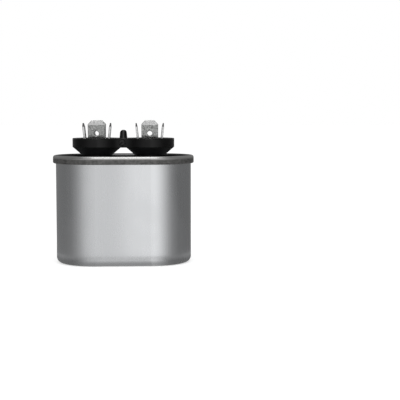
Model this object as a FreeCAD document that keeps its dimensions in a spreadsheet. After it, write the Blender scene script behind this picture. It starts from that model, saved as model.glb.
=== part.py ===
import FreeCAD, Part
import os
import re

import Sketcher

# An oval motor run capacitor: a drawn can closed by a double-seamed cover, two four-bladed
# terminals in a moulded insulator on the cover, and the wound element with its fittings inside.
# Frame: origin at the middle of the can's underside, X along the oval, Z up, -Y to the front.

SIZES = {
    "rim_length": 53.975,
    "rim_depth": 33.3375,
    "case_height": 41.275,
    "can_wall": 0.35,
    "can_floor": 0.5,
    "can_corner": 2.2,
    "seam_height": 3.05,
    "seam_play": 0.05,
    "compound_leg": 0.8,
    "cover_sheet": 0.3,
    "cover_recess": 2.2,
    "groove_width": 1.1,
    "groove_depth": 1.175,
    "panel_bend": 0.5,
    "cover_hole": 5.8,
    "terminal_pitch": 20.2,
    "cup_diameter": 18.8,
    "cup_height": 8.7,
    "cup_band": 3.35,
    "cup_cone": 3.1,
    "cup_wall": 1.5,
    "cup_foot": 11.6,
    "cup_round": 0.3,
    "pad_height": 5.7,
    "pad_round": 0.9,
    "recess_floor": 4.1,
    "recess_reach": 6.6,
    "recess_play": 0.25,
    "waist_width": 11.5,
    "bridge_height": 3.55,
    "fin_width": 2.95,
    "fin_depth": 7.4,
    "fin_height": 3.1,
    "fin_crown_width": 2.3,
    "fin_crown_depth": 5.4,
    "fin_round": 1.1,
    "fin_end_round": 0.6,
    "blade_width": 6.35,
    "blade_sheet": 0.8,
    "blade_bend": 0.5,
    "side_arm": 3.35,
    "side_lean": 6.2,
    "side_height": 10.3,
    "face_arm": 4.1,
    "face_lean": 9.4,
    "face_height": 11.3,
    "blade_bevel": 1.6,
    "blade_edge": 0.35,
    "blade_corner": 1.4,
    "blade_hole": 1.95,
    "blade_hole_drop": 4.9,
    "base_corner": 1.0,
    "rivet_shank": 3.2,
    "rivet_head": 4.2,
    "rivet_head_height": 0.45,
    "rivet_dimple": 2.3,
    "rivet_dimple_floor": 1.1,
    "rivet_dimple_depth": 0.25,
    "rivet_flange": 6.0,
    "rivet_flange_height": 0.8,
    "rivet_play": 0.1,
    "gasket_diameter": 8.4,
    "gasket_height": 0.8,
    "gasket_neck": 5.7,
    "washer_diameter": 9.0,
    "washer_height": 1.0,
    "washer_chamfer": 0.4,
    "lug_sheet": 0.4,
    "lug_ring": 6.8,
    "lug_tab": 4.0,
    "lug_reach": 7.2,
    "lead_width": 3.0,
    "lead_sheet": 0.3,
    "lead_bend": 0.35,
    "lead_lap": 3.0,
    "lead_notch": 1.0,
    "sleeve_width": 3.8,
    "sleeve_wall": 0.2,
    "sleeve_play": 0.05,
    "sleeve_margin": 1.2,
    "liner_play": 0.12,
    "liner_sheet": 0.4,
    "liner_margin": 1.1,
    "lead_gap": 1.1,
    "wrap_sheet": 0.3,
    "core_radius": 0.8,
    "core_wall": 0.45,
    "spray_height": 0.6,
    "bottom_pad_height": 1.5,
    "bottom_pad_rim": 0.3,
    "bottom_pad_chamfer": 0.8,
    "pad_slot_width": 3.4,
    "pad_slot_depth": 0.5,
    "spacer_height": 8.4,
    "spacer_sheet": 1.5,
    "spacer_side_play": 0.2,
    "spacer_play": 0.05,
    "spacer_slot": 4.6,
    "window_width": 3.0,
    "window_height": 4.0,
    "window_step": 5.0,
}
WINDOWS_PER_SIDE = 4

LEFT = "left"
RIGHT = "right"

doc = FreeCAD.newDocument("MotorRunCapacitor")
sheet = doc.addObject("Spreadsheet::Sheet", "Sizes")
for row, (alias, size) in enumerate(SIZES.items(), start=1):
    sheet.set(f"A{row}", alias)
    sheet.set(f"B{row}", str(size))
    sheet.setAlias(f"B{row}", alias)
doc.recompute()


def bound(text):
    """An expression with each size in it read from the sheet."""
    return re.sub(r"\b[a-z]+(?:_[a-z]+)+\b", r"Sizes.\g<0>", text)


def value(text):
    return float(sheet.evalExpression(bound(text)))


def bind(thing, path, text):
    thing.setExpression(path, bound(text))


def middle(first, second):
    return f"(({first}) + ({second})) / 2"


def seam_layers():
    """The outer and inner radius of every sheet across the seam, from the rim inwards."""
    layers = {}
    outer = "rim_depth / 2"
    for name, gauge in (("skirt", "cover_sheet"), ("can_hook", "can_wall"), ("cover_hook", "cover_sheet"),
                        ("can", "can_wall"), ("chuck", "cover_sheet")):
        inner = f"{outer} - {gauge}"
        layers[name] = (outer, inner)
        outer = f"{inner} - seam_play"
    return layers


# Expressions that several pieces share: places along X, heights from the underside, and radii
# at the round ends, from the seam inwards

END_X = "(rim_length - rim_depth) / 2"
PANEL_Z = "case_height - cover_recess"
GROOVE_Z = f"{PANEL_Z} - groove_depth"
GROOVE_UNDERSIDE_Z = f"{GROOVE_Z} - cover_sheet"
WASHER_Z = f"{PANEL_Z} - cover_sheet - washer_height"
LUG_Z = f"{WASHER_Z} - lug_sheet"
PAD_TOP_Z = "can_floor + bottom_pad_height"
ELEMENT_Z = f"{PAD_TOP_Z} + spray_height"
WRAP_TOP_Z = f"{GROOVE_UNDERSIDE_Z} - spacer_height"
SPRAY_TOP_Z = f"{WRAP_TOP_Z} - spray_height"

LAYERS = seam_layers()
CORNER_R = f"{LAYERS['can'][1]} - (can_corner - can_floor)"
LINER_R = f"{LAYERS['can'][1]} - liner_play"
LINER_INSIDE = f"{LINER_R} - liner_sheet"
WRAP_R = f"{LINER_INSIDE} - lead_gap"
ELEMENT_R = f"{WRAP_R} - wrap_sheet"
SPACER_R = f"{LINER_INSIDE} - spacer_side_play"
LEAD_X = f"{END_X} + {WRAP_R} + lead_gap / 2"
BORE_RADIUS = "(rivet_shank + rivet_play) / 2"
FOLD_R = middle(LAYERS["skirt"][0], LAYERS["chuck"][1])
FOLD_Z = f"case_height - (({LAYERS['skirt'][0]}) - ({LAYERS['chuck'][1]})) / 2"
LOWER_FOLD_R = middle(LAYERS["skirt"][0], LAYERS["cover_hook"][1])
LOWER_FOLD_Z = f"case_height - seam_height + (({LAYERS['skirt'][0]}) - ({LAYERS['cover_hook'][1]})) / 2"


# Sketches and features

def plane_of(body, role):
    return next(plane for plane in body.Origin.OriginFeatures if plane.Role == role)


def new_body(label):
    body = doc.addObject("PartDesign::Body", label)
    body.Label = label
    return body


def new_sketch(body, name, role, away="0"):
    """A sketch on one of the body's own planes, or parallel to it at a distance."""
    sketch = body.newObject("Sketcher::SketchObject", name)
    sketch.AttachmentSupport = [(plane_of(body, role), "")]
    sketch.MapMode = "FlatFace"
    bind(sketch, "AttachmentOffset.Base.z", away)
    return sketch


def measure(sketch, constraints):
    """Adds constraints, each with the expression that drives it, or None."""
    added = sketch.addConstraint([constraint for constraint, text in constraints])
    for number, (constraint, text) in zip(added, constraints):
        if text and "_" in text:
            bind(sketch, f"Constraints[{number}]", text)


def pinned(geometry, point, x, y):
    """Constraints that hold a point at its distances from the sketch's origin."""
    return [
        (Sketcher.Constraint("DistanceX", -1, 1, geometry, point, value(x)), x),
        (Sketcher.Constraint("DistanceY", -1, 1, geometry, point, value(y)), y),
    ]


def outline(sketch, steps):
    """A closed outline. A step is the point that a line runs to, or that an arc runs to with the
    arc's centre and the way it turns."""
    up = FreeCAD.Vector(0, 0, 1)
    points = [FreeCAD.Vector(value(step[0]), value(step[1]), 0) for step in steps]
    pieces = []
    constraints = []
    for number, step in enumerate(steps):
        start, end = points[number - 1], points[number]
        begin, finish = 1, 2
        if len(step) == 2:
            geometry = sketch.addGeometry(Part.LineSegment(start, end), False)
        else:
            centre = FreeCAD.Vector(value(step[2]), value(step[3]), 0)
            if step[4] == RIGHT:
                begin, finish = 2, 1
            low, high = (start, end) if step[4] == LEFT else (end, start)
            angles = [(spot - centre).getAngle(FreeCAD.Vector(1, 0, 0)) for spot in (low, high)]
            angles = [angle if spot.y >= centre.y else -angle for angle, spot in zip(angles, (low, high))]
            circle = Part.Circle(centre, up, (low - centre).Length)
            geometry = sketch.addGeometry(Part.ArcOfCircle(circle, *angles), False)
            chord = end - start
            if abs(chord.x) >= abs(chord.y):
                constraints.append((Sketcher.Constraint("DistanceY", -1, 1, geometry, 3, centre.y), step[3]))
            else:
                constraints.append((Sketcher.Constraint("DistanceX", -1, 1, geometry, 3, centre.x), step[2]))
        constraints += pinned(geometry, finish, step[0], step[1])
        pieces.append((geometry, begin, finish))
    for (before, _, last), (after, first, _) in zip(pieces, pieces[1:] + pieces[:1]):
        constraints.insert(0, (Sketcher.Constraint("Coincident", before, last, after, first), None))
    measure(sketch, constraints)


def circle(sketch, x, y, diameter):
    spot = FreeCAD.Vector(value(x), value(y), 0)
    ring = Part.Circle(spot, FreeCAD.Vector(0, 0, 1), value(diameter) / 2)
    geometry = sketch.addGeometry(ring, False)
    across = (Sketcher.Constraint("Diameter", geometry, value(diameter)), diameter)
    measure(sketch, pinned(geometry, 3, x, y) + [across])


def rectangle(left, right, low, high):
    return [(left, low), (right, low), (right, high), (left, high)]


def pad(body, name, sketch, length, side="One side", reverse=False):
    feature = body.newObject("PartDesign::Pad", name)
    feature.Profile = sketch
    feature.SideType = side
    feature.Reversed = reverse
    bind(feature, "Length", length)
    return feature


def pocket(body, name, sketch, length=None, side="One side", reverse=False):
    """A pocket of a stated depth, or right through the body."""
    feature = body.newObject("PartDesign::Pocket", name)
    feature.Profile = sketch
    feature.SideType = side
    feature.Reversed = reverse
    if length is None:
        feature.Type = "ThroughAll"
    else:
        bind(feature, "Length", length)
    return feature


def revolution(body, name, sketch, angle=360, reverse=False):
    feature = body.newObject("PartDesign::Revolution", name)
    feature.Profile = sketch
    feature.ReferenceAxis = (sketch, ["V_Axis"])
    feature.Angle = angle
    feature.Reversed = reverse
    return feature


def mirrored(body, name, features, role):
    mirror = body.newObject("PartDesign::Mirrored", name)
    mirror.Originals = features
    mirror.MirrorPlane = (plane_of(body, role), [""])
    body.Tip = mirror
    return mirror


def dressed(body, kind, name, edge_test, size, property_name):
    """A fillet or chamfer on the edges of the body so far that pass a test."""
    doc.recompute()
    base = body.Tip
    names = [f"Edge{number}" for number, edge in enumerate(base.Shape.Edges, start=1) if edge_test(edge)]
    feature = body.newObject(kind, name)
    feature.Base = (base, names)
    bind(feature, property_name, size)
    return feature


def fillet(body, name, edge_test, radius):
    return dressed(body, "PartDesign::Fillet", name, edge_test, radius, "Radius")


def chamfer(body, name, edge_test, size):
    return dressed(body, "PartDesign::Chamfer", name, edge_test, size, "Size")


def lies_at(edge, height):
    """Whether an edge lies level at a height in its body's own frame."""
    box = edge.BoundBox
    return max(abs(box.ZMin - value(height)), abs(box.ZMax - value(height))) < 1e-4


def oval(label, steps):
    """A body of one section all round the can's plan: straight sides and half-round ends."""
    body = new_body(label)
    section = new_sketch(body, label + "_section", "YZ_Plane", END_X)
    outline(section, steps)
    side = pad(body, label + "_side", section, f"2 * ({END_X})", reverse=True)
    end = revolution(body, label + "_end", section, angle=180, reverse=True)
    mirrored(body, label + "_other_end", [end], "YZ_Plane")
    mirrored(body, label + "_other_side", [side], "XZ_Plane")
    return body


def turned(label, steps):
    """A body of revolution about its own upright axis."""
    body = new_body(label)
    section = new_sketch(body, label + "_section", "XZ_Plane")
    outline(section, steps)
    revolution(body, label + "_turn", section)
    return body


def other_way(turn):
    return LEFT if turn == RIGHT else RIGHT


def walked_back(steps):
    """The steps of one side of an outline in the opposite order, its arcs turning the other way."""
    back = []
    for step, later in zip(reversed(steps), [()] + steps[:0:-1]):
        arc = (later[2], later[3], other_way(later[4])) if len(later) == 5 else ()
        back.append((*step[:2], *arc))
    return back


def bent_strip(corners, gauge, bend):
    """The edge-on outline of a strip that runs through the corners, each leg along an axis of the
    sketch: a corner is its x, its y and the direction (x, y) of the leg that leaves it."""
    half = f"{gauge} / 2"
    radius = f"({bend} + {half})"

    def moved(point, *moves):
        """A point moved along directions by lengths."""
        x, y = point
        for (along_x, along_y), length in moves:
            x = f"{x} + {along_x} * {length}" if along_x else x
            y = f"{y} + {along_y} * {length}" if along_y else y
        return x, y

    sides = []
    for hand in (-1, 1):
        steps = []
        for number, (x, y, leaving) in enumerate(corners):
            corner = (x, y)
            normal = (-hand * leaving[1], hand * leaving[0])
            if number == 0:
                steps.append(moved(corner, (normal, f"({half})")))
                arriving = leaving
                continue
            if leaving == arriving:
                steps.append(moved(corner, (normal, f"({half})")))
                continue
            old_normal = (-hand * arriving[1], hand * arriving[0])
            back = (-arriving[0], -arriving[1])
            centre = moved(corner, (back, radius), (leaving, radius))
            turn = LEFT if arriving[0] * leaving[1] - arriving[1] * leaving[0] > 0 else RIGHT
            steps.append(moved(corner, (back, radius), (old_normal, f"({half})")))
            steps.append((*moved(corner, (leaving, radius), (normal, f"({half})")), *centre, turn))
            arriving = leaving
        sides.append(steps)
    out, home = sides
    return out + walked_back(home)


# The case

def make_can():
    """The drawn can, with its top turned out and down into the hook that the cover holds."""
    wall, inside = LAYERS["can"]
    hook, hook_inside = LAYERS["can_hook"]
    hook_end = f"{LOWER_FOLD_Z} + seam_play"
    corner_r = f"{wall} - can_corner"
    return oval("can", [
        ("0", "0"),
        (corner_r, "0"),
        (wall, "can_corner", corner_r, "can_corner", LEFT),
        (wall, FOLD_Z),
        (hook_inside, FOLD_Z, FOLD_R, FOLD_Z, RIGHT),
        (hook_inside, hook_end),
        (hook, hook_end),
        (hook, FOLD_Z),
        (inside, FOLD_Z, FOLD_R, FOLD_Z, LEFT),
        (inside, "can_corner"),
        (CORNER_R, "can_floor", CORNER_R, "can_corner", RIGHT),
        ("0", "can_floor"),
    ])


def make_cover():
    """The pressed cover: a sunk panel, the groove round it, and the edge rolled over the can's
    hook and up again inside it."""
    skirt, skirt_inside = LAYERS["skirt"]
    hook, hook_inside = LAYERS["cover_hook"]
    chuck, chuck_inside = LAYERS["chuck"]
    hook_end = f"{FOLD_Z} - seam_play"
    panel_r = f"{chuck_inside} - groove_width"
    panel_underside = f"{PANEL_Z} - cover_sheet"
    groove_r = f"{chuck_inside} - groove_width / 2"
    groove_z = f"{GROOVE_Z} + groove_width / 2"
    bend_r = f"{panel_r} - panel_bend"
    bend_z = f"{PANEL_Z} - panel_bend"
    body = oval("cover", [
        ("0", PANEL_Z),
        ("0", panel_underside),
        (bend_r, panel_underside),
        (f"{panel_r} - cover_sheet", bend_z, bend_r, bend_z, RIGHT),
        (f"{panel_r} - cover_sheet", groove_z),
        (chuck, groove_z, groove_r, groove_z, LEFT),
        (chuck, FOLD_Z),
        (skirt_inside, FOLD_Z, FOLD_R, FOLD_Z, RIGHT),
        (skirt_inside, LOWER_FOLD_Z),
        (hook, LOWER_FOLD_Z, LOWER_FOLD_R, LOWER_FOLD_Z, RIGHT),
        (hook, hook_end),
        (hook_inside, hook_end),
        (hook_inside, LOWER_FOLD_Z),
        (skirt, LOWER_FOLD_Z, LOWER_FOLD_R, LOWER_FOLD_Z, LEFT),
        (skirt, FOLD_Z),
        (chuck_inside, FOLD_Z, FOLD_R, FOLD_Z, LEFT),
        (chuck_inside, groove_z),
        (panel_r, groove_z, groove_r, groove_z, RIGHT),
        (panel_r, bend_z),
        (bend_r, PANEL_Z, bend_r, bend_z, LEFT),
    ])
    holes = new_sketch(body, "cover_holes", "XY_Plane")
    for side in ("-", ""):
        circle(holes, f"{side}terminal_pitch / 2", "0", "cover_hole")
    pocket(body, "terminal_holes", holes, side="Symmetric")
    return body


def make_seam_compound():
    """The sealing compound between the can's fold and the cover's, with a leg down each side."""
    low = f"{FOLD_Z} - compound_leg"
    hook = LAYERS["can_hook"][0]
    skirt_inside = LAYERS["skirt"][1]
    can_inside = LAYERS["can"][1]
    chuck = LAYERS["chuck"][0]
    return oval("seam_compound", [
        (hook, low),
        (skirt_inside, low),
        (skirt_inside, FOLD_Z),
        (chuck, FOLD_Z, FOLD_R, FOLD_Z, LEFT),
        (chuck, low),
        (can_inside, low),
        (can_inside, FOLD_Z),
        (hook, FOLD_Z, FOLD_R, FOLD_Z, RIGHT),
    ])


# The insulator and the terminals

def quarter_turned(step, quarters):
    """An outline's step, turned about the sketch's origin by a number of quarters."""
    turned_step = ()
    for x, y in zip(step[0:4:2], step[1:4:2]):
        for _ in range(quarters):
            x, y = f"-({y})", x
        turned_step += (x, y)
    return turned_step + step[4:]


def cross_outline(half_width, reach, corner):
    """A cross with four equal arms and rounded inner corners, about the sketch's origin."""
    arc_at = f"{half_width} + {corner}"
    arm = [
        (reach, f"-({half_width})"),
        (reach, half_width),
        (arc_at, half_width),
        (half_width, arc_at, arc_at, arc_at, RIGHT),
    ]
    return [quarter_turned(step, quarters) for quarters in range(4) for step in arm]


def at_cup(sketch):
    """Moves a level or upright sketch to the axis of the right-hand cup."""
    bind(sketch, "AttachmentOffset.Base.x", "terminal_pitch / 2")


def on_fin_end(edge):
    """Whether an edge, in the insulator's own frame, outlines one of the fin's sloping ends."""
    if edge.BoundBox.ZMax < value("cup_height") + 0.1:
        return False
    for spot in edge.discretize(3):
        up = (spot.z - value("cup_height - cup_round")) / value("fin_height + cup_round")
        end_y = value("fin_depth") / 2 - up * value("fin_depth - fin_crown_depth") / 2
        if abs(abs(spot.y) - end_y) > 1e-3:
            return False
    return True


def make_insulator():
    """The moulding: two cups on conical feet, joined by a waisted bridge with a barrier fin."""
    body = new_body("terminal_insulator")
    bind(body, "Placement.Base.z", PANEL_Z)

    cup = new_sketch(body, "cup_section", "XZ_Plane")
    at_cup(cup)
    band_low = "cup_height - cup_band"
    outline(cup, [
        ("0", "0"),
        ("cup_foot / 2", "0"),
        ("cup_foot / 2", f"{band_low} - cup_cone"),
        ("cup_diameter / 2", band_low),
        ("cup_diameter / 2", "cup_height"),
        ("0", "cup_height"),
    ])
    cup_form = revolution(body, "cup_form", cup)
    mirrored(body, "other_cup_form", [cup_form], "YZ_Plane")

    # The waist's edge is one arc that touches both cups.
    half_pitch = "(terminal_pitch / 2)"
    radius = "(cup_diameter / 2)"
    half_waist = "(waist_width / 2)"
    sweep = f"(({half_pitch}^2 + {half_waist}^2 - {radius}^2) / (2 * ({radius} - {half_waist})))"
    touch_x = f"{half_pitch} * {sweep} / ({radius} + {sweep})"
    touch_y = f"({half_waist} + {sweep}) * {radius} / ({radius} + {sweep})"
    centre_y = f"{half_waist} + {sweep}"
    waist = new_sketch(body, "waist", "XY_Plane", "cup_height")
    outline(waist, [
        (f"-({touch_x})", f"-({touch_y})"),
        (touch_x, f"-({touch_y})", "0", f"-({centre_y})", RIGHT),
        (touch_x, touch_y),
        (f"-({touch_x})", touch_y, "0", centre_y, RIGHT),
    ])
    pad(body, "bridge", waist, "bridge_height", reverse=True)

    mouth = new_sketch(body, "mouth", "XY_Plane", "cup_height")
    at_cup(mouth)
    circle(mouth, "0", "0", "cup_diameter - 2 * cup_wall")
    cavity = pocket(body, "cavity", mouth, "cup_height - pad_height")
    cross = new_sketch(body, "cross", "XY_Plane", "pad_height")
    at_cup(cross)
    outline(cross, cross_outline("(blade_width / 2 + recess_play)", "recess_reach", "pad_round"))
    recess = pocket(body, "recess", cross, "pad_height - recess_floor")
    bore_mark = new_sketch(body, "bore_mark", "XY_Plane")
    at_cup(bore_mark)
    circle(bore_mark, "0", "0", f"2 * {BORE_RADIUS}")
    bore = pocket(body, "bore", bore_mark, side="Symmetric")
    seat_mark = new_sketch(body, "seat_mark", "XY_Plane")
    at_cup(seat_mark)
    circle(seat_mark, "0", "0", "gasket_diameter")
    seat = pocket(body, "gasket_seat", seat_mark, "gasket_height", reverse=True)
    mirrored(body, "other_cup_cuts", [cavity, recess, bore, seat], "YZ_Plane")

    fillet(body, "rim_round", lambda edge: lies_at(edge, "cup_height"), "cup_round")

    foot = new_sketch(body, "fin_foot", "XY_Plane", "cup_height - cup_round")
    outline(foot, rectangle("-fin_width / 2", "fin_width / 2", "-fin_depth / 2", "fin_depth / 2"))
    crown = new_sketch(body, "fin_crown", "XY_Plane", "cup_height + fin_height")
    outline(crown, rectangle("-fin_crown_width / 2", "fin_crown_width / 2",
                             "-fin_crown_depth / 2", "fin_crown_depth / 2"))
    fin = body.newObject("PartDesign::AdditiveLoft", "fin")
    fin.Profile = foot
    fin.Sections = [crown]
    fillet(body, "fin_crown_round",
           lambda edge: lies_at(edge, "cup_height + fin_height") and edge.BoundBox.XLength < 1e-4,
           "fin_round")
    fillet(body, "fin_end_edges", on_fin_end, "fin_end_round")
    return body


def blade_pair_outline(arm, lean, tall):
    """A base and the two blades bent up from its ends, seen edge-on: each blade leans outwards
    and is coined to a thin edge at its tip."""
    across_x, across_z = f"cos({lean})", f"-sin({lean})"
    along_x, along_z = f"sin({lean})", f"cos({lean})"
    centre = (arm, "blade_sheet + blade_bend")
    middle_z = f"({centre[1]} + (blade_bend + blade_sheet / 2) * ({across_z}))"
    length = f"(({tall} - {middle_z}) / {along_z})"
    shoulder = f"({length} - blade_bevel)"

    def spot(out, up):
        """A point of the blade, out across it from the bend's centre and up along it."""
        return (f"{centre[0]} + ({out}) * {across_x} + ({up}) * {along_x}",
                f"{centre[1]} + ({out}) * ({across_z}) + ({up}) * {along_z}")

    outer, inner, mid = "blade_bend + blade_sheet", "blade_bend", "blade_bend + blade_sheet / 2"
    half = [
        (arm, "0"),
        (*spot(outer, "0"), *centre, LEFT),
        spot(outer, shoulder),
        spot(f"{mid} + blade_edge / 2", length),
        spot(f"{mid} - blade_edge / 2", length),
        spot(inner, shoulder),
        spot(inner, "0"),
        (arm, "blade_sheet", *centre, RIGHT),
    ]
    other = []
    for x, z, *arc in half:
        turned_arc = (f"-({arc[0]})", arc[1], other_way(arc[2])) if arc else ()
        other.append((f"-({x})", z, *turned_arc))
    return half + walked_back(other)


def tip_corners(tall):
    """Two triangles that take the corners off a blade's tip, seen flat on."""
    edge = "blade_width / 2"
    clear = "blade_corner / 4"
    corners = []
    for sign in ("", "-"):
        corners.append([
            (f"{sign}({edge} - blade_corner - {clear})", f"{tall} + {clear}"),
            (f"{sign}({edge} + {clear})", f"{tall} + {clear}"),
            (f"{sign}({edge} + {clear})", f"{tall} - blade_corner - {clear}"),
        ])
    return corners


def make_terminal(label, side):
    """One stamping: a cross-shaped base with a quick-connect blade bent up from every arm."""
    body = new_body(label)
    bind(body, "Placement.Base.x", f"{side}terminal_pitch / 2")
    bind(body, "Placement.Base.z", f"{PANEL_Z} + recess_floor")

    pairs = (("side", "XZ_Plane", "YZ_Plane"), ("face", "YZ_Plane", "XZ_Plane"))
    for name, edge_plane, _ in pairs:
        edge_on = new_sketch(body, f"{label}_{name}_edge", edge_plane)
        outline(edge_on, blade_pair_outline(f"{name}_arm", f"{name}_lean", f"{name}_height"))
        pad(body, f"{label}_{name}_blades", edge_on, "blade_width", side="Symmetric")
    for name, _, flat_plane in pairs:
        flat_on = new_sketch(body, f"{label}_{name}_flat", flat_plane)
        for corner in tip_corners(f"{name}_height"):
            outline(flat_on, corner)
        circle(flat_on, "0", f"{name}_height - blade_hole_drop", "blade_hole")
        pocket(body, f"{label}_{name}_cuts", flat_on, side="Symmetric")

    webs = new_sketch(body, f"{label}_web_mark", "XY_Plane")
    edge = "blade_width / 2"
    far = f"{edge} + base_corner"
    web = [(edge, edge), (far, edge), (edge, far, far, far, RIGHT)]
    for quarters in range(4):
        outline(webs, [quarter_turned(step, quarters) for step in web])
    pad(body, f"{label}_webs", webs, "blade_sheet")
    bore = new_sketch(body, f"{label}_bore_mark", "XY_Plane")
    circle(bore, "0", "0", f"2 * {BORE_RADIUS}")
    pocket(body, f"{label}_bore", bore, "2 * blade_sheet", side="Symmetric")
    return body


def make_rivet(label, side):
    """The rivet through terminal, insulator, cover and lug: a set head with the tool's dimple
    above, a flange below."""
    base_top = f"{PANEL_Z} + recess_floor + blade_sheet"
    head_top = f"{base_top} + rivet_head_height"
    head_round = "rivet_head_height / 2"
    body = turned(label, [
        ("0", f"{LUG_Z} - rivet_flange_height"),
        ("rivet_flange / 2", f"{LUG_Z} - rivet_flange_height"),
        ("rivet_flange / 2", LUG_Z),
        ("rivet_shank / 2", LUG_Z),
        ("rivet_shank / 2", base_top),
        ("rivet_head / 2", base_top),
        ("rivet_head / 2", f"{base_top} + {head_round}"),
        (f"rivet_head / 2 - {head_round}", head_top,
         f"rivet_head / 2 - {head_round}", f"{base_top} + {head_round}", LEFT),
        ("rivet_dimple / 2", head_top),
        ("rivet_dimple_floor / 2", f"{head_top} - rivet_dimple_depth"),
        ("0", f"{head_top} - rivet_dimple_depth"),
    ])
    bind(body, "Placement.Base.x", f"{side}terminal_pitch / 2")
    return body


def make_gasket(label, side):
    """The rubber seal in the cup's foot, with a neck that lines the cover's hole."""
    body = turned(label, [
        (BORE_RADIUS, f"{PANEL_Z} - cover_sheet"),
        ("gasket_neck / 2", f"{PANEL_Z} - cover_sheet"),
        ("gasket_neck / 2", PANEL_Z),
        ("gasket_diameter / 2", PANEL_Z),
        ("gasket_diameter / 2", f"{PANEL_Z} + gasket_height"),
        (BORE_RADIUS, f"{PANEL_Z} + gasket_height"),
    ])
    bind(body, "Placement.Base.x", f"{side}terminal_pitch / 2")
    return body


def make_inner_washer(label, side):
    """The insulating washer under the cover's panel."""
    body = new_body(label)
    bind(body, "Placement.Base.x", f"{side}terminal_pitch / 2")
    bind(body, "Placement.Base.z", WASHER_Z)
    ring = new_sketch(body, f"{label}_ring", "XY_Plane")
    circle(ring, "0", "0", "washer_diameter")
    circle(ring, "0", "0", f"2 * {BORE_RADIUS}")
    pad(body, f"{label}_disc", ring, "washer_height")
    chamfer(body, f"{label}_edge",
            lambda edge: lies_at(edge, "0") and edge.BoundBox.XLength > value("rivet_flange"),
            "washer_chamfer")
    return body


def make_lug(label, side):
    """The solder lug on the rivet: a ring with a round-ended tab that a lead is soldered to."""
    body = new_body(label)
    bind(body, "Placement.Base.x", f"{side}terminal_pitch / 2")
    bind(body, "Placement.Base.z", LUG_Z)
    ring = new_sketch(body, f"{label}_ring", "XY_Plane")
    circle(ring, "0", "0", "lug_ring")
    pad(body, f"{label}_eye", ring, "lug_sheet")
    tab = new_sketch(body, f"{label}_tab", "XY_Plane")
    end_x = "lug_reach - lug_tab / 2"
    outline(tab, [
        ("0", "-lug_tab / 2"),
        (end_x, "-lug_tab / 2"),
        (end_x, "lug_tab / 2", end_x, "0", LEFT),
        ("0", "lug_tab / 2"),
    ])
    pad(body, f"{label}_tongue", tab, "lug_sheet")
    bore = new_sketch(body, f"{label}_bore_mark", "XY_Plane")
    circle(bore, "0", "0", f"2 * {BORE_RADIUS}")
    pocket(body, f"{label}_bore", bore, "2 * lug_sheet", side="Symmetric")
    return body


# The leads

def make_lead_top():
    """The ribbon from the left-hand lug down to the top of the winding, with a narrow neck that
    parts if the cover bulges."""
    body = new_body("lead_top")
    lap_end_x = "-terminal_pitch / 2 + lug_reach"
    top_z = f"{LUG_Z} - lead_sheet / 2"
    foot_z = f"{WRAP_TOP_Z} + lead_sheet / 2"
    route = new_sketch(body, "lead_top_route", "XZ_Plane")
    outline(route, bent_strip([
        (f"{lap_end_x} - lead_lap", top_z, (1, 0)),
        (lap_end_x, top_z, (0, -1)),
        (lap_end_x, foot_z, (1, 0)),
        (f"{lap_end_x} + lead_lap", foot_z, (1, 0)),
    ], "lead_sheet", "lead_bend"))
    pad(body, "lead_top_ribbon", route, "lead_width", side="Symmetric")
    neck = new_sketch(body, "lead_top_neck", "YZ_Plane")
    for side in ("-", ""):
        circle(neck, f"{side}lead_width / 2", middle(top_z, foot_z), "2 * lead_notch")
    pocket(body, "lead_top_interrupter", neck, side="Symmetric")
    return body


def make_lead_bottom():
    """The ribbon from the right-hand lug out over the winding, down beside it and back under it."""
    body = new_body("lead_bottom")
    lap_end_x = "terminal_pitch / 2 + lug_reach"
    top_z = f"{LUG_Z} - lead_sheet / 2"
    foot_z = f"{PAD_TOP_Z} - lead_sheet / 2"
    route = new_sketch(body, "lead_bottom_route", "XZ_Plane")
    outline(route, bent_strip([
        (f"{lap_end_x} - lead_lap", top_z, (1, 0)),
        (LEAD_X, top_z, (0, -1)),
        (LEAD_X, foot_z, (-1, 0)),
        ("lead_lap", foot_z, (-1, 0)),
    ], "lead_sheet", "lead_bend"))
    pad(body, "lead_bottom_ribbon", route, "lead_width", side="Symmetric")
    return body


def make_lead_sleeve():
    """The flat insulating sleeve on the upright part of the long lead."""
    body = new_body("lead_sleeve")
    bind(body, "Placement.Base.x", LEAD_X)
    low = f"({PAD_TOP_Z} + sleeve_margin)"
    high = f"({LUG_Z} - sleeve_margin)"
    section = new_sketch(body, "sleeve_section", "XY_Plane", low)
    inner_half = "(lead_sheet + sleeve_play) / 2"
    outer_half = f"({inner_half} + sleeve_wall)"
    for half_x, half_y in ((outer_half, "(sleeve_width / 2)"),
                           (inner_half, "(sleeve_width / 2 - sleeve_wall)")):
        outline(section, rectangle(f"-{half_x}", half_x, f"-{half_y}", half_y))
    pad(body, "sleeve_tube", section, f"{high} - {low}")
    return body


# The winding and what holds it

def make_element():
    return oval("element", rectangle("core_radius", ELEMENT_R, ELEMENT_Z, SPRAY_TOP_Z))


def make_winding_core():
    """The flattened tube that the film is wound on."""
    return oval("winding_core", rectangle("core_radius - core_wall", "core_radius",
                                          ELEMENT_Z, SPRAY_TOP_Z))


def make_end_spray(label, low):
    """The sprayed metal that joins the film's edges over one end of the winding."""
    return oval(label, rectangle("0", ELEMENT_R, low, f"{low} + spray_height"))


def make_element_wrap():
    return oval("element_wrap", rectangle(ELEMENT_R, WRAP_R, PAD_TOP_Z, WRAP_TOP_Z))


def make_can_liner():
    """The sheet that lines the can's wall, from the top of its round corner."""
    return oval("can_liner", rectangle(LINER_INSIDE, LINER_R, "can_corner",
                                       f"{GROOVE_UNDERSIDE_Z} - liner_margin"))


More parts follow.
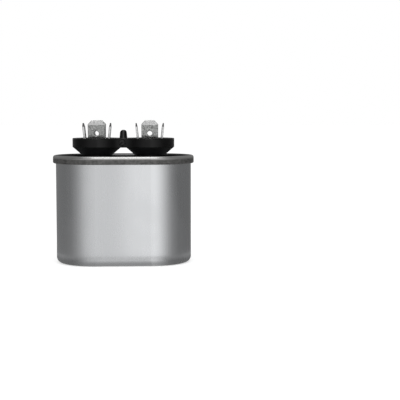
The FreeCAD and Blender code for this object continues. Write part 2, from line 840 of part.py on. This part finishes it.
def make_bottom_pad():
    """The pad under the winding, chamfered for the can's round corner and slotted for the lead."""
    rim_r = f"{WRAP_R} + bottom_pad_rim"
    body = oval("bottom_pad", [
        ("0", "can_floor"),
        (CORNER_R, "can_floor"),
        (rim_r, "can_floor + bottom_pad_chamfer"),
        (rim_r, PAD_TOP_Z),
        ("0", PAD_TOP_Z),
    ])
    slot = new_sketch(body, "pad_slot", "XY_Plane", PAD_TOP_Z)
    outline(slot, rectangle("lead_lap - pad_slot_depth", "rim_length / 2",
                            "-pad_slot_width / 2", "pad_slot_width / 2"))
    pocket(body, "lead_slot", slot, "pad_slot_depth")
    return body


def make_top_spacer():
    """The ring that keeps the winding down: open at the long lead, with windows for the oil."""
    body = oval("top_spacer", rectangle(f"{SPACER_R} - spacer_sheet", SPACER_R, WRAP_TOP_Z,
                                        f"{GROOVE_UNDERSIDE_Z} - spacer_play"))
    slot = new_sketch(body, "spacer_slot_mark", "XY_Plane", WRAP_TOP_Z)
    outline(slot, rectangle(END_X, "rim_length / 2", "-spacer_slot / 2", "spacer_slot / 2"))
    pocket(body, "spacer_gap", slot, reverse=True)
    window = new_sketch(body, "spacer_window_mark", "XZ_Plane")
    first_x = f"-{WINDOWS_PER_SIDE - 1} * window_step / 2"
    middle_z = middle(WRAP_TOP_Z, GROOVE_UNDERSIDE_Z)
    outline(window, rectangle(f"{first_x} - window_width / 2", f"{first_x} + window_width / 2",
                              f"{middle_z} - window_height / 2", f"{middle_z} + window_height / 2"))
    cut = pocket(body, "spacer_window", window, side="Symmetric")
    row = body.newObject("PartDesign::LinearPattern", "spacer_windows")
    row.Originals = [cut]
    row.Direction = (window, ["H_Axis"])
    row.Mode = "Spacing"
    bind(row, "Offset", "window_step")
    row.Occurrences = WINDOWS_PER_SIDE
    body.Tip = row
    return body


nodes = [
    make_can(),
    make_cover(),
    make_seam_compound(),
    make_insulator(),
    make_lead_top(),
    make_lead_bottom(),
    make_lead_sleeve(),
    make_element(),
    make_winding_core(),
    make_end_spray("end_spray_bottom", PAD_TOP_Z),
    make_end_spray("end_spray_top", SPRAY_TOP_Z),
    make_element_wrap(),
    make_can_liner(),
    make_bottom_pad(),
    make_top_spacer(),
]
for hand, side in (("left", "-"), ("right", "")):
    nodes += [
        make_terminal(f"terminal_{hand}", side),
        make_rivet(f"rivet_{hand}", side),
        make_gasket(f"gasket_{hand}", side),
        make_inner_washer(f"inner_washer_{hand}", side),
        make_lug(f"lug_{hand}", side),
    ]

doc.recompute()
for item in doc.Objects:
    if "Invalid" in item.State or "Error" in item.State:
        raise RuntimeError(f"{item.Label} was not computed: {item.State}")
for node in nodes:
    if node.Shape.isNull() or not node.Shape.isValid() or len(node.Shape.Solids) != 1:
        raise RuntimeError(f"{node.Label} is not one valid solid")

os.makedirs("parts", exist_ok=True)
for node in nodes:
    node.Shape.exportStep(f"parts/{node.Label}.step")
    box = node.Shape.BoundBox
    print(f"{node.Label}: {node.Shape.Volume:.1f} mm3, "
          f"x {box.XMin:.2f} {box.XMax:.2f}, y {box.YMin:.2f} {box.YMax:.2f}, z {box.ZMin:.2f} {box.ZMax:.2f}")
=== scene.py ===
import math

import bpy
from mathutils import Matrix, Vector


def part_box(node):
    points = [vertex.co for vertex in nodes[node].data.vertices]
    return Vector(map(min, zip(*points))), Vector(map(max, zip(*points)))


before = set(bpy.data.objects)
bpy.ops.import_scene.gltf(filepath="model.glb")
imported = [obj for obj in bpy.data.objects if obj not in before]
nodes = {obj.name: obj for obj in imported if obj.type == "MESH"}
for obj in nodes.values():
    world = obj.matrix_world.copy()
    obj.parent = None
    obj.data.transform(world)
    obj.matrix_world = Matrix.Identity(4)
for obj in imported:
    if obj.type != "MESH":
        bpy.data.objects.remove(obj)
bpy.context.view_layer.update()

MM = 0.001

# Measures of the part that its finishes follow, in metres. END_X is where the centre of a round end lies
RIM_X, RIM_R, RIM_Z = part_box("cover")[1]
END_X = RIM_X - RIM_R
LINER_TO_CAN = 0.47 * MM
CAN_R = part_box("can_liner")[1][1] + LINER_TO_CAN
PANEL_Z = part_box("terminal_insulator")[0][2]
FIN_HEIGHT = 3.1 * MM
FIN_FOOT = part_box("terminal_insulator")[1][2] - FIN_HEIGHT
FIN_HALF = 1.475 * MM

# Fine forms that only the finishes carry: the crown of the can's flat walls (its depth in millimetres),
# the easing of the can's lower corner, the skirt's inward turn under the roll, and the fin's round face
CROWN_REACH = END_X + 3.2 * MM
CROWN_DEPTH = 0.18
EASE_TOP = 4.4 * MM
EASE_BEND = 24.0
SKIRT_TOP = 1.0 * MM
SKIRT_TURN = 0.2 * MM
SKIRT_SLOPE = 0.36
FIN_BEND = 520.0

# Where the cover's finish changes, from none to full. IN counts from the rim's outer edge inward, DOWN
# from the rim's top, and UP from the panel
# The roll's bounds mark the skirt, whose dark colour is partly painted shade
ROLL_IN = (0.9 * MM, 0.3 * MM)
ROLL_DOWN = (0.75 * MM, 1.4 * MM)
FOLD_IN = (1.6 * MM, 1.0 * MM)
WEAR_IN = (3.0 * MM, 1.0 * MM)
# The well bounds the painted shade in the groove and over the inner side of the fold; WALL_UP deepens it up
# the groove's wall
WELL_INNER_IN = (3.3 * MM, 2.7 * MM)
WELL_OUTER_IN = (0.65 * MM, 0.9 * MM)
PANEL_IN = (2.3 * MM, 2.6 * MM)
PANEL_UP = (-0.35 * MM, -0.05 * MM)
WALL_UP = (0.2 * MM, 0.8 * MM)

# The broken gate on the front of the insulator's bridge, and where its fin begins, up from the fin's foot
GATE_X, GATE_Z = -0.5 * MM, 46.1 * MM
GATE_FADE = (2.6 * MM, 2.0 * MM)
GATE_RAGGED = 2.4 * MM
FIN_UP = (-0.4 * MM, 0.6 * MM)

# Tints of gray
NEUTRAL = (1.0, 1.0, 1.0)
ALUMINIUM = (0.985, 1.0, 1.02)
TIN = (0.965, 1.0, 1.02)
DULL_TIN = (1.0, 0.99, 0.97)
GROOVE_SHADE_TINT = (1.0, 0.97, 0.93)
IVORY = (1.0, 0.99, 0.94)
AMBER = (1.0, 0.98, 0.88)

# The values that a noise mostly has
NOISE_RANGE = (0.3, 0.7)


class Finish:
    """A node-based material: a shader, with textures measured in millimetres on the object."""

    def __init__(self, name, **sockets):
        self.material = bpy.data.materials.new(name)
        self.material.use_nodes = True
        self.tree = self.material.node_tree
        self.shader = self.tree.nodes["Principled BSDF"]
        for socket, setting in sockets.items():
            self.shader.inputs[socket.replace("_", " ")].default_value = setting
        self.place = self.add("ShaderNodeTexCoord").outputs["Object"]

    def add(self, kind, inputs=None, **settings):
        node = self.tree.nodes.new(kind)
        for setting, choice in settings.items():
            setattr(node, setting, choice)
        for socket, source in (inputs or {}).items():
            self.feed(node.inputs[socket], source)
        return node

    def feed(self, socket, source):
        if isinstance(source, bpy.types.NodeSocket):
            self.tree.links.new(source, socket)
        else:
            socket.default_value = source

    def drive(self, **sockets):
        for socket, source in sockets.items():
            self.feed(self.shader.inputs[socket.replace("_", " ")], source)

    def math(self, operation, *values):
        return self.add("ShaderNodeMath", dict(enumerate(values)), operation=operation).outputs[0]

    def times(self, first, second):
        return self.math("MULTIPLY", first, second)

    def minus(self, first, second):
        return self.math("SUBTRACT", first, second)

    def scaled(self, value, factor, base):
        """A value times a factor, on top of a base."""
        return self.math("MULTIPLY_ADD", value, factor, base)

    def absolute(self, value):
        return self.math("ABSOLUTE", value)

    def at_least(self, value, low):
        return self.math("MAXIMUM", value, low)

    def at_most(self, value, high):
        return self.math("MINIMUM", value, high)

    def span(self, source, low, high, bottom=0.0, top=1.0, smooth=False):
        """Takes low..high of a value to bottom..top."""
        kind = "SMOOTHSTEP" if smooth else "LINEAR"
        inputs = {"Value": source, "From Min": low, "From Max": high, "To Min": bottom, "To Max": top}
        return self.add("ShaderNodeMapRange", inputs, interpolation_type=kind).outputs[0]

    def fade(self, source, start, end):
        """A smooth change from 0 at the start to 1 at the end, whichever of the two is lower."""
        return self.span(source, start, end, smooth=True)

    def spread(self, noise, bottom=0.0, top=1.0):
        """Takes the values that a noise mostly has to bottom..top."""
        return self.span(noise, *NOISE_RANGE, bottom, top)

    def axes(self, source=None):
        return self.add("ShaderNodeSeparateXYZ", {0: source or self.place}).outputs

    def noise(self, size, detail=3.0, rough=0.5, stretch=(1.0, 1.0, 1.0), distort=0.0, shift=0.0):
        """Noise whose patches are about this many millimetres across."""
        moved = {"Vector": self.place, "Scale": stretch, "Location": (shift, shift * 0.7, shift * 0.3)}
        place = self.add("ShaderNodeMapping", moved).outputs[0]
        inputs = {"Vector": place, "Scale": 1.0 / (size * MM), "Detail": detail, "Roughness": rough,
                  "Distortion": distort}
        return self.add("ShaderNodeTexNoise", inputs).outputs["Fac"]

    def cells(self, size, shift=0.0):
        """The distance from the middles of cells about this many millimetres across."""
        moved = {"Vector": self.place, "Location": (shift, shift, shift)}
        place = self.add("ShaderNodeMapping", moved).outputs[0]
        inputs = {"Vector": place, "Scale": 1.0 / (size * MM)}
        return self.add("ShaderNodeTexVoronoi", inputs).outputs["Distance"]

    def blend(self, amount, first, second):
        """A colour between two colours."""
        node = self.add("ShaderNodeMix", {"Factor": amount}, data_type="RGBA")
        colours = [socket for socket in node.inputs if socket.type == "RGBA"]
        self.feed(colours[0], first)
        self.feed(colours[1], second)
        return [socket for socket in node.outputs if socket.type == "RGBA"][0]

    def relief(self, height, depth, strength=1.0, over=None):
        """Bump of a depth in millimetres, over another normal."""
        inputs = {"Height": height, "Distance": depth * MM, "Strength": strength}
        if over is not None:
            inputs["Normal"] = over
        return self.add("ShaderNodeBump", inputs).outputs[0]

    def formed(self, height, over):
        """Bump by a height that is itself in metres, over another normal."""
        return self.relief(height, depth=1.0 / MM, over=over)

    def soft_edge(self, radius):
        """The normal with every sharp edge rounded by a radius in millimetres."""
        return self.add("ShaderNodeBevel", {"Radius": radius * MM}, samples=6).outputs[0]

    def bend(self, offset, bend):
        """The height of a surface that turns away with the square of an offset."""
        return self.times(self.times(offset, offset), -bend)

    def distance(self, *offsets):
        total = 0.0
        for offset in offsets:
            total = self.scaled(offset, offset, total)
        return self.math("SQRT", total)

    def oval_distance(self):
        """How far a point is from the straight line that joins the centres of the can's round ends."""
        x, y, _ = self.axes()
        past_centre = self.at_least(self.minus(self.absolute(x), END_X), 0.0)
        return self.distance(past_centre, y)

    def facing(self):
        """The three parts of the way that a surface faces."""
        return self.axes(self.add("ShaderNodeNewGeometry").outputs["Normal"])


def gray(level, tint=NEUTRAL):
    return tuple(level * part for part in tint) + (1.0,)


def grays(low, high, tint=NEUTRAL):
    return gray(low, tint), gray(high, tint)


def can_finish():
    """Drawn can: satin, with faint upright streaks from the draw and a few handling smears."""
    paint = Finish("can_metal", Metallic=1.0)
    x, _, z = paint.axes()
    streaks = paint.noise(0.9, detail=4.0, rough=0.6, stretch=(1.0, 1.0, 0.012))
    fine = paint.noise(0.16, detail=2.0, rough=0.6, stretch=(1.0, 1.0, 0.02), shift=3.0)
    smears = paint.noise(9.0, detail=2.0, stretch=(1.0, 1.0, 0.6), distort=0.6, shift=1.0)
    tone = paint.scaled(smears, 0.4, paint.times(streaks, 0.6))
    rough = paint.scaled(streaks, 0.08, paint.span(smears, 0.35, 0.7, bottom=0.21, top=0.26))
    crown_turn = paint.times(paint.at_most(paint.absolute(x), CROWN_REACH), math.pi / CROWN_REACH)
    ease = paint.bend(paint.at_most(paint.minus(z, EASE_TOP), 0.0), EASE_BEND)
    drawn = paint.relief(fine, depth=0.0008, strength=0.5)
    drawn = paint.relief(streaks, depth=0.003, strength=0.5, over=drawn)
    crowned = paint.relief(paint.math("COSINE", crown_turn), CROWN_DEPTH, over=drawn)
    paint.drive(Base_Color=paint.blend(paint.spread(tone), *grays(0.705, 0.735, ALUMINIUM)),
                Roughness=rough, Normal=paint.formed(ease, over=crowned))
    return paint.material


def cover_finish():
    """Tinplate: a smooth panel in a groove darkened with painted shade, a bright burnished fold, and a
    dull, mottled skirt darkened further with painted shade, rounded by the seaming roll."""
    paint = Finish("cover_metal", Metallic=1.0)
    height = paint.axes()[2]
    inward = paint.minus(RIM_R, paint.oval_distance())
    down = paint.minus(RIM_Z, height)
    up = paint.minus(height, PANEL_Z)
    rolled = paint.times(paint.fade(inward, *ROLL_IN), paint.fade(down, *ROLL_DOWN))
    well = paint.times(paint.fade(inward, *WELL_INNER_IN), paint.fade(inward, *WELL_OUTER_IN))
    panel = paint.times(paint.fade(up, *PANEL_UP), paint.fade(inward, *PANEL_IN))
    groove = paint.times(well, paint.minus(1.0, panel))
    below = paint.at_least(paint.minus(down, SKIRT_TOP), 0.0)
    turned_in = paint.times(paint.distance(below, SKIRT_TURN), -SKIRT_SLOPE)
    mottle = paint.noise(1.3, detail=4.0, rough=0.62, stretch=(1.0, 1.0, 1.6), distort=0.4)
    spots = paint.noise(0.35, rough=0.6, shift=2.0)
    satin = paint.noise(1.6, rough=0.55, shift=5.0)
    # The skirt's colour: dull, mottled tin, with painted shade that makes it darker than the fold
    dull = paint.blend(paint.span(mottle, 0.3, 0.68), *grays(0.15, 0.31, DULL_TIN))
    bright = paint.blend(paint.spread(satin), *grays(0.70, 0.77, TIN))
    bright = paint.blend(paint.span(inward, *FOLD_IN), bright, gray(0.60, (1.0, 1.0, 0.98)))
    # Painted shade in the groove and over the inner side of the fold, darkest high on the groove's wall
    groove_shade = paint.blend(mottle, *grays(0.36, 0.56, GROOVE_SHADE_TINT))
    groove_shade = paint.blend(paint.span(up, *WALL_UP), groove_shade, gray(0.11))
    wear = paint.scaled(spots, 0.08, paint.span(inward, *WEAR_IN, bottom=0.18, top=0.27))
    pressed = paint.relief(spots, depth=0.004, strength=0.5)
    pressed = paint.relief(satin, depth=0.010, strength=0.5, over=pressed)
    pressed = paint.relief(paint.times(mottle, rolled), depth=0.06, strength=0.8, over=pressed)
    paint.drive(Base_Color=paint.blend(groove, paint.blend(rolled, bright, dull), groove_shade),
                Roughness=paint.scaled(rolled, 0.25, wear), Normal=paint.formed(turned_in, over=pressed))
    return paint.material


def insulator_finish():
    """Black thermoset moulding: semi-gloss, with a fine orange peel and flow marks, a shiny fin, dull
    undersides, and the broken gate."""
    paint = Finish("insulator_plastic", IOR=1.5)
    x, y, z = paint.axes()
    peel = paint.noise(0.45, detail=2.0)
    grain = paint.noise(0.09, detail=2.0, rough=0.6, shift=4.0)
    flow = paint.noise(3.5, rough=0.55, stretch=(1.0, 1.0, 2.0), distort=0.8, shift=2.0)
    broken = paint.noise(0.9, detail=4.0, rough=0.6, shift=7.0)
    from_gate = paint.distance(paint.minus(x, GATE_X), paint.minus(z, GATE_Z))
    ragged = paint.scaled(broken, GATE_RAGGED, from_gate)
    in_front = paint.math("LESS_THAN", y, 0.0)
    gate = paint.times(paint.fade(ragged, *GATE_FADE), in_front)
    specks = paint.times(gate, paint.span(broken, 0.44, 0.58))
    under = paint.span(paint.facing()[2], -0.2, -0.6)
    fin = paint.fade(paint.minus(z, FIN_FOOT), *FIN_UP)
    rounded = paint.times(paint.bend(paint.at_most(paint.absolute(x), FIN_HALF), FIN_BEND), fin)
    colour = paint.blend(paint.spread(flow), gray(0.003), gray(0.006, (1.0, 1.0, 1.05)))
    rough = paint.scaled(grain, 0.10, paint.spread(flow, bottom=0.10, top=0.17))
    rough = paint.scaled(under, 0.35, rough)
    peeled = paint.relief(grain, depth=0.003, strength=0.6, over=paint.soft_edge(0.12))
    peeled = paint.relief(peel, depth=0.010, strength=0.6, over=peeled)
    moulded = paint.formed(rounded, over=peeled)
    paint.drive(Base_Color=paint.blend(specks, colour, gray(0.055)),
                Specular_IOR_Level=paint.scaled(fin, 0.7, 0.22),
                Roughness=paint.scaled(gate, 0.2, rough),
                Normal=paint.relief(paint.times(broken, gate), depth=0.5, strength=0.9, over=moulded))
    return paint.material


def terminal_finish():
    """Tin-plated stampings, tumbled after plating: a fine mottle, brighter on the flat seat, with a painted
    highlight on the edges that face forward or back and painted shade on the side blades' cut corners."""
    paint = Finish("terminal_metal", Metallic=1.0)
    _, out, up = paint.facing()
    forward = paint.absolute(out)
    # Painted shade on faces that turn both up and forward or back: the side blades' cut corners
    cut = paint.times(paint.span(forward, 0.3, 0.5), paint.span(up, 0.3, 0.5))
    seat = paint.span(up, 0.5, 0.9)
    # Painted highlight on the thin edges that face forward or back
    edge_highlight = paint.times(paint.span(paint.absolute(up), 0.045, 0.015), paint.span(forward, 0.9, 0.98))
    mottle = paint.noise(0.42, detail=4.0, rough=0.70, distort=0.3)
    dents = paint.cells(0.6, shift=1.0)
    grain = paint.noise(0.12, detail=2.0, rough=0.6, shift=6.0)
    tone = paint.span(mottle, 0.36, 0.62)
    plated = paint.blend(tone, gray(0.14, (0.99, 1.0, 0.985)), gray(0.66, (0.985, 1.0, 0.985)))
    plated = paint.blend(paint.at_least(seat, edge_highlight), plated, paint.blend(tone, *grays(0.54, 0.88)))
    worn = paint.relief(grain, depth=0.006, strength=0.5, over=paint.soft_edge(0.36))
    worn = paint.relief(dents, depth=0.05, strength=0.4, over=worn)
    paint.drive(Base_Color=paint.blend(cut, plated, gray(0.10)),
                Roughness=paint.scaled(grain, 0.12, paint.spread(mottle, bottom=0.28, top=0.16)),
                Normal=paint.relief(mottle, depth=0.05, strength=0.7, over=worn))
    return paint.material


def rivet_finish():
    """Tin-plated rivet with a rough set head."""
    paint = Finish("rivet_metal", Metallic=1.0)
    marks = paint.cells(0.7, shift=2.0)
    pits = paint.noise(0.3, rough=0.65)
    worn = paint.relief(pits, depth=0.06, strength=0.8, over=paint.soft_edge(0.12))
    paint.drive(Base_Color=paint.blend(paint.span(pits, 0.34, 0.62), *grays(0.34, 0.78, DULL_TIN)),
                Roughness=paint.spread(pits, bottom=0.42, top=0.24),
                Normal=paint.relief(marks, depth=0.20, strength=0.9, over=worn))
    return paint.material


def compound_finish():
    """Dried water-based sealing compound, tan and matt."""
    paint = Finish("compound", IOR=1.48)
    grain = paint.noise(0.3, rough=0.6)
    paint.drive(Base_Color=paint.blend(grain, (0.30, 0.24, 0.16, 1.0), (0.40, 0.33, 0.23, 1.0)),
                Roughness=paint.spread(grain, bottom=0.55, top=0.75),
                Normal=paint.relief(grain, depth=0.02))
    return paint.material


def film_finish():
    """Wound metallised film, with fine turns that show at its ends."""
    paint = Finish("film", Metallic=0.7)
    across = {"W": paint.oval_distance(), "Scale": 1.0 / (0.06 * MM), "Detail": 2.0}
    turns = paint.add("ShaderNodeTexNoise", across, noise_dimensions="1D").outputs["Fac"]
    cloud = paint.noise(4.0)
    paint.drive(Base_Color=paint.blend(paint.spread(turns), gray(0.62), gray(0.80, (1.0, 1.0, 0.97))),
                Roughness=paint.spread(cloud, bottom=0.3, top=0.45),
                Normal=paint.relief(turns, depth=0.01))
    return paint.material


def moulded_finish(name, low, high, size=0.4, rough=(0.45, 0.6)):
    """A plain moulded, cut or rolled sheet material with its own grain."""
    paint = Finish(name, IOR=1.5)
    cloud = paint.noise(size * 8, rough=0.55)
    grain = paint.noise(size, rough=0.6, shift=2.0)
    paint.drive(Base_Color=paint.blend(paint.spread(cloud), low, high),
                Roughness=paint.spread(grain, *rough),
                Normal=paint.relief(grain, depth=0.015, strength=0.6))
    return paint.material


def spray_finish():
    """Arc-sprayed zinc: gray and grainy."""
    paint = Finish("spray_metal", Metallic=1.0)
    drops = paint.cells(0.25)
    cloud = paint.noise(2.0)
    paint.drive(Base_Color=paint.blend(cloud, gray(0.40), gray(0.58, (0.98, 1.0, 1.02))),
                Roughness=paint.spread(cloud, bottom=0.5, top=0.7),
                Normal=paint.relief(drops, depth=0.08))
    return paint.material


def lead_finish():
    """Tinned ribbon: smooth, with drawing lines along it."""
    paint = Finish("lead_metal", Metallic=1.0)
    lines = paint.noise(0.2, rough=0.6, stretch=(0.05, 1.0, 0.05))
    paint.drive(Base_Color=paint.blend(lines, gray(0.62), gray(0.76, (1.0, 0.99, 0.96))),
                Roughness=paint.spread(lines, bottom=0.25, top=0.4),
                Normal=paint.relief(lines, depth=0.006))
    return paint.material


def both(name):
    return [f"{name}_{hand}" for hand in ("left", "right")]


dressed = [
    (can_finish(), ["can"]),
    (cover_finish(), ["cover"]),
    (compound_finish(), ["seam_compound"]),
    (insulator_finish(), ["terminal_insulator"]),
    (film_finish(), ["element"]),
    (moulded_finish("core_plastic", *grays(0.78, 0.86, IVORY)), ["winding_core"]),
    (spray_finish(), ["end_spray_top", "end_spray_bottom"]),
    (moulded_finish("wrap_film", *grays(0.80, 0.88, AMBER), size=0.8, rough=(0.15, 0.3)), ["element_wrap"]),
    (moulded_finish("liner_plastic", gray(0.80), gray(0.88, (1.0, 1.0, 0.98))),
     ["can_liner", "bottom_pad", "top_spacer"]),
    (lead_finish(), ["lead_top", "lead_bottom"] + both("lug")),
    (moulded_finish("sleeve_plastic", (0.70, 0.66, 0.52, 1.0), (0.80, 0.76, 0.62, 1.0)), ["lead_sleeve"]),
    (terminal_finish(), both("terminal")),
    (rivet_finish(), both("rivet")),
    (moulded_finish("gasket_rubber", *grays(0.025, 0.045), size=0.3, rough=(0.55, 0.75)), both("gasket")),
    (moulded_finish("washer_board", (0.34, 0.17, 0.09, 1.0), (0.44, 0.24, 0.13, 1.0), size=0.25),
     both("inner_washer")),
]
for material, names in dressed:
    for name in names:
        mesh = nodes[name].data
        mesh.materials.clear()
        mesh.materials.append(material)


# The studio: its camera, and its one lamp, whose power is in watts
CAMERA_LENS = 93.3
CAMERA_PLACE = (9.5 * MM, -400.0 * MM, 57.7 * MM)
CAMERA_AIM = (29.45 * MM, 0.0, 23.7 * MM)
KEY_PLACE = (0.03, -0.43, 0.60)
KEY_AIM = (0.0, 0.0, 0.03)
KEY_SIZE = (0.35, 0.40)
KEY_POWER = 0.96

# The world, as seen and as scattered light, and the floor, whose glow lifts it to white where it is seen
WORLD_SEEN, WORLD_SCATTERED = 1.0, 0.55
FLOOR_REACH = 4.0
FLOOR_Z = -0.05 * MM
FLOOR_GLOW = 0.58

# The ring of cards that gloss sees. Its fades are in degrees above the horizon
RING_R, RING_FOOT, RING_TOP = 1.0, -0.6, 3.0
HIGH_FADE = (3, 14)
BELOW_FADE = (-6, -24)
CEILING_FADE = (56, 71)
CEILING_NARROW = 2.2
CEILING_LEVEL = 0.94

# The ring's levels all around, each with its degrees from the front, rising to the right. The first two
# stops are the back
LOW_LEVELS = [(-180, 0.24), (180, 0.24), (-156, 0.24), (-140, 0.20), (-90, 0.18), (-72, 0.21), (-50, 0.40),
              (-32, 0.68), (-12, 0.82), (-2, 0.78), (5, 1.22), (11, 1.20), (22, 1.05), (38, 0.72),
              (58, 0.30), (80, 0.16), (140, 0.17), (156, 0.22)]
HIGH_LEVELS = [(-180, 0.26), (180, 0.26), (-100, 0.20), (-60, 0.15), (-34, 0.22), (-14, 0.44), (-3, 0.60),
               (6, 0.72), (18, 0.68), (30, 0.44), (46, 0.20), (100, 0.20)]

# The table that gloss sees round the can. Its levels are a share of the low level above it, and a base
TABLE_Z = -0.04 * MM
TABLE_REACH = 36 * MM
TABLE_FADE = (7 * MM, 15 * MM)
TABLE_FAR = (0.20, 0.29)
TABLE_SHADED = (0.24, 0.13)
SHADOW_REACH = 9 * MM


def placed(name, data, place=(0.0, 0.0, 0.0)):
    obj = bpy.data.objects.new(name, data)
    bpy.context.scene.collection.objects.link(obj)
    obj.location = place
    return obj


def aim(obj, spot):
    obj.rotation_euler = (Vector(spot) - obj.location).to_track_quat("-Z", "Y").to_euler()


def add_camera():
    data = bpy.data.cameras.new("camera")
    data.lens = CAMERA_LENS
    camera = placed("camera", data, CAMERA_PLACE)
    aim(camera, CAMERA_AIM)
    bpy.context.scene.camera = camera


def add_key_lamp():
    data = bpy.data.lights.new("key", "AREA")
    data.shape = "RECTANGLE"
    data.size, data.size_y = KEY_SIZE
    data.energy = KEY_POWER
    aim(placed("key", data, KEY_PLACE), KEY_AIM)


def seen_directly(tree):
    """1 for camera, glossy and transmission rays, 0 for the rest."""
    path = tree.nodes.new("ShaderNodeLightPath")
    total = path.outputs["Is Camera Ray"]
    for ray in ("Is Glossy Ray", "Is Transmission Ray"):
        joined = tree.nodes.new("ShaderNodeMath")
        joined.operation = "MAXIMUM"
        tree.links.new(total, joined.inputs[0])
        tree.links.new(path.outputs[ray], joined.inputs[1])
        total = joined.outputs[0]
    return total


def level_for_rays(tree, socket, direct, scattered):
    """Gives a strength one level where it is seen directly and another for scattered light."""
    spread = tree.nodes.new("ShaderNodeMapRange")
    spread.inputs["To Min"].default_value = scattered
    spread.inputs["To Max"].default_value = direct
    tree.links.new(seen_directly(tree), spread.inputs["Value"])
    tree.links.new(spread.outputs[0], socket)


def add_world():
    world = bpy.data.worlds.new("studio")
    world.use_nodes = True
    background = world.node_tree.nodes["Background"]
    background.inputs["Color"].default_value = gray(1.0)
    level_for_rays(world.node_tree, background.inputs["Strength"], WORLD_SEEN, WORLD_SCATTERED)
    bpy.context.scene.world = world


def add_floor():
    mesh = bpy.data.meshes.new("floor")
    corners = [(x * FLOOR_REACH, y * FLOOR_REACH, 0.0) for x, y in ((-1, -1), (1, -1), (1, 1), (-1, 1))]
    mesh.from_pydata(corners, [], [(0, 1, 2, 3)])
    floor = placed("floor", mesh, (0.0, 0.0, FLOOR_Z))
    floor.visible_glossy = False
    paint = Finish("floor", Roughness=0.9, Specular_IOR_Level=0.0)
    sheen = paint.noise(120.0, detail=2.0)
    paint.drive(Base_Color=paint.blend(sheen, *grays(0.80, 0.82)), Emission_Color=gray(1.0))
    level_for_rays(paint.tree, paint.shader.inputs["Emission Strength"], FLOOR_GLOW, 0.0)
    mesh.materials.append(paint.material)


def gloss_card(name, points, faces):
    """A studio card that only gloss sees."""
    mesh = bpy.data.meshes.new(name)
    mesh.from_pydata(points, [], faces)
    card = placed(name, mesh)
    card.visible_camera = False
    card.visible_diffuse = False
    card.visible_transmission = False
    card.visible_volume_scatter = False
    card.visible_shadow = False
    paint = Finish(name, Base_Color=gray(0.0), Roughness=1.0, Specular_IOR_Level=0.0, Emission_Strength=1.0)
    mesh.materials.append(paint.material)
    return paint


def around(paint, turn, stops):
    """A level that follows a turn in radians, given as stops of degrees and level."""
    ramp = paint.add("ShaderNodeValToRGB", {"Fac": paint.span(turn, -math.pi, math.pi)})
    elements = ramp.color_ramp.elements
    for number, (angle, level) in enumerate(stops):
        element = elements[number] if number < 2 else elements.new(1.0)
        element.position = (angle + 180) / 360
        element.color = gray(level)
    return ramp.outputs["Color"]


def radians(degrees):
    return [math.radians(angle) for angle in degrees]


def circle(radius, z, parts=96):
    turns = [2 * math.pi * number / parts for number in range(parts)]
    return [(radius * math.sin(turn), -radius * math.cos(turn), z) for turn in turns]


def add_reflection_ring():
    """A wide ring of cards that gloss sees: a bright window in front, darkness to the sides, behind
    and below, and a bright ceiling, longer from front to back than across."""
    low, high = circle(RING_R, RING_FOOT), circle(RING_R, RING_TOP)
    parts = len(low)
    walls = [(n, (n + 1) % parts, parts + (n + 1) % parts, parts + n) for n in range(parts)]
    bottom = tuple(range(parts))
    paint = gloss_card("reflection_ring", low + high, walls + [bottom])
    x, y, z = paint.axes()
    turn = paint.math("ARCTAN2", x, paint.times(y, -1.0))
    steep = paint.math("ARCTAN2", z, paint.distance(x, y))
    steeper = paint.math("ARCTAN2", z, paint.distance(paint.times(x, CEILING_NARROW), y))
    low_level = around(paint, turn, LOW_LEVELS)
    high_level = around(paint, turn, HIGH_LEVELS)
    level = paint.blend(paint.fade(steep, *radians(HIGH_FADE)), low_level, high_level)
    below_level = paint.scaled(low_level, *TABLE_FAR)
    level = paint.blend(paint.fade(steep, *radians(BELOW_FADE)), level, below_level)
    ceiling = paint.fade(steeper, *radians(CEILING_FADE))
    paint.drive(Emission_Color=paint.blend(ceiling, level, gray(CEILING_LEVEL)))


def add_reflection_table():
    """The table close to the can, as gloss sees it: it darkens into the can's shadow."""
    points = [(x + math.copysign(END_X, x), y, z) for x, y, z in circle(TABLE_REACH, TABLE_Z)]
    paint = gloss_card("reflection_table", points, [tuple(range(len(points)))])
    x, y, _ = paint.axes()
    middle = paint.at_most(paint.at_least(x, -END_X), END_X)
    turn = paint.math("ARCTAN2", paint.minus(x, middle), paint.times(y, -1.0))
    doubled = paint.math("WRAP", paint.times(turn, 2.0), math.pi, -math.pi)
    level = around(paint, doubled, LOW_LEVELS)
    gap = paint.minus(paint.oval_distance(), CAN_R)
    light = paint.minus(1.0, paint.math("EXPONENT", paint.times(gap, -1.0 / SHADOW_REACH)))
    near = paint.blend(light, paint.scaled(level, *TABLE_SHADED), level)
    far = paint.scaled(level, *TABLE_FAR)
    paint.drive(Emission_Color=paint.blend(paint.fade(gap, *TABLE_FADE), near, far))


add_camera()
add_world()
add_floor()
add_reflection_ring()
add_reflection_table()
add_key_lamp()
bpy.context.scene.view_settings.view_transform = "Standard"
